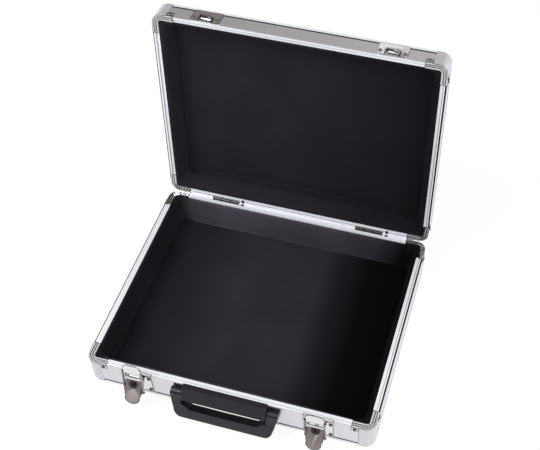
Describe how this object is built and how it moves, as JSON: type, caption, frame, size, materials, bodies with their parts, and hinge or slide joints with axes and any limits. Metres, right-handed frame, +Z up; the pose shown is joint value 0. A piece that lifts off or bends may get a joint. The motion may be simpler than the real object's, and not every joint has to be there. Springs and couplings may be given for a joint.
{
  "type": "attache case",
  "caption": "Hard aluminium attache case with its lid open, black lining, over-centre latches undone and a black swing handle hanging at the front.",
  "frame": {"origin": "centre of the base's underside, on the surface that the case stands on", "axes": "+X to the right of somebody facing the latches, +Y to the hinges at the back, +Z up"},
  "size_m": [0.3536, 0.3554, 0.3271],
  "materials": {
    "anodised_rim": "satin anodised",
    "aluminium_panel": "smooth matt",
    "satin_cap": "satin silver",
    "bright_chrome": "polished plate",
    "bright_steel": "bright drawn",
    "nickel_lock": "polished nickel",
    "black_plastic": "semi-gloss moulded",
    "black_velour": "short pile",
    "plywood": "raw board"
  },
  "bodies": {
    "base": {"base_rim_front": "anodised_rim", "base_rim_rear": "anodised_rim", "base_rim_left": "anodised_rim", "base_rim_right": "anodised_rim", "base_panel_front": "aluminium_panel", "base_panel_rear": "aluminium_panel", "base_panel_left": "aluminium_panel", "base_panel_right": "aluminium_panel", "base_edge_trims": "anodised_rim", "base_corner_caps": "satin_cap", "base_rim_brackets": "bright_chrome", "base_bottom_panel": "aluminium_panel", "base_floor_board": "plywood", "base_floor_pad": "black_velour", "base_wall_boards": "plywood", "base_wall_lining": "black_velour", "base_rivets": "bright_chrome", "hinge_leaves_base": "bright_steel", "hinge_pins": "bright_steel", "latch_plate_left": "bright_chrome", "latch_plate_right": "bright_chrome", "lever_pins": "bright_steel", "handle_housing": "black_plastic", "handle_pins": "bright_steel", "handle_screws": "bright_steel"},
    "lid": {"lid_rim_front": "anodised_rim", "lid_rim_rear": "anodised_rim", "lid_rim_left": "anodised_rim", "lid_rim_right": "anodised_rim", "lid_panel_front": "aluminium_panel", "lid_panel_rear": "aluminium_panel", "lid_panel_left": "aluminium_panel", "lid_panel_right": "aluminium_panel", "lid_edge_trims": "anodised_rim", "lid_corner_caps": "satin_cap", "lid_rim_brackets": "bright_chrome", "lid_top_panel": "aluminium_panel", "lid_top_board": "plywood", "lid_top_pad": "black_velour", "lid_wall_boards": "plywood", "lid_wall_lining": "black_velour", "lid_rivets": "bright_chrome", "hinge_leaves_lid": "bright_steel", "strike_left": "bright_chrome", "strike_right": "bright_chrome"},
    "lever_left": {"lever_left": "bright_chrome", "bail_pin_left": "bright_steel"},
    "lever_right": {"lever_right": "bright_chrome", "bail_pin_right": "bright_steel"},
    "lock_left": {"lock_left": "nickel_lock"},
    "lock_right": {"lock_right": "nickel_lock"},
    "bail_left": {"bail_left": "bright_chrome"},
    "bail_right": {"bail_right": "bright_chrome"},
    "grip": {"handle_grip": "black_plastic"}
  },
  "joints": [
    {"name": "lid_hinge", "type": "hinge", "parent": "base", "child": "lid", "pos_m": [0, 0.1405, 0.042], "axis": [1, 0, 0], "range_deg": [0, 94.5]},
    {"name": "lever_left_pivot", "type": "hinge", "parent": "base", "child": "lever_left", "pos_m": [-0.11, -0.1432, 0.038], "axis": [1, 0, 0], "range_deg": [-30, 32]},
    {"name": "bail_left_pivot", "type": "hinge", "parent": "lever_left", "child": "bail_left", "pos_m": [-0.11, -0.15289, 0.02401], "axis": [1, 0, 0], "range_deg": [-25.01, 23.45]},
    {"name": "lock_left_turn", "type": "hinge", "parent": "lever_left", "child": "lock_left", "pos_m": [-0.11, -0.1468, 0.03223], "axis": [0, -0.848, 0.5299], "range_deg": [0, 90]},
    {"name": "lever_right_pivot", "type": "hinge", "parent": "base", "child": "lever_right", "pos_m": [0.11, -0.1432, 0.038], "axis": [1, 0, 0], "range_deg": [-30, 32]},
    {"name": "bail_right_pivot", "type": "hinge", "parent": "lever_right", "child": "bail_right", "pos_m": [0.11, -0.15289, 0.02401], "axis": [1, 0, 0], "range_deg": [-32.01, 30.01]},
    {"name": "lock_right_turn", "type": "hinge", "parent": "lever_right", "child": "lock_right", "pos_m": [0.11, -0.1468, 0.03223], "axis": [0, -0.848, 0.5299], "range_deg": [0, 90]},
    {"name": "grip_swing", "type": "hinge", "parent": "base", "child": "grip", "pos_m": [0, -0.146, 0.034], "axis": [-1, 0, 0], "range_deg": [0, 150]}
  ],
  "couplings": [
    {"joint": "bail_left_pivot", "follows": "lever_left_pivot", "ratio": -0.78125},
    {"joint": "bail_right_pivot", "follows": "lever_right_pivot", "ratio": -1}
  ]
}
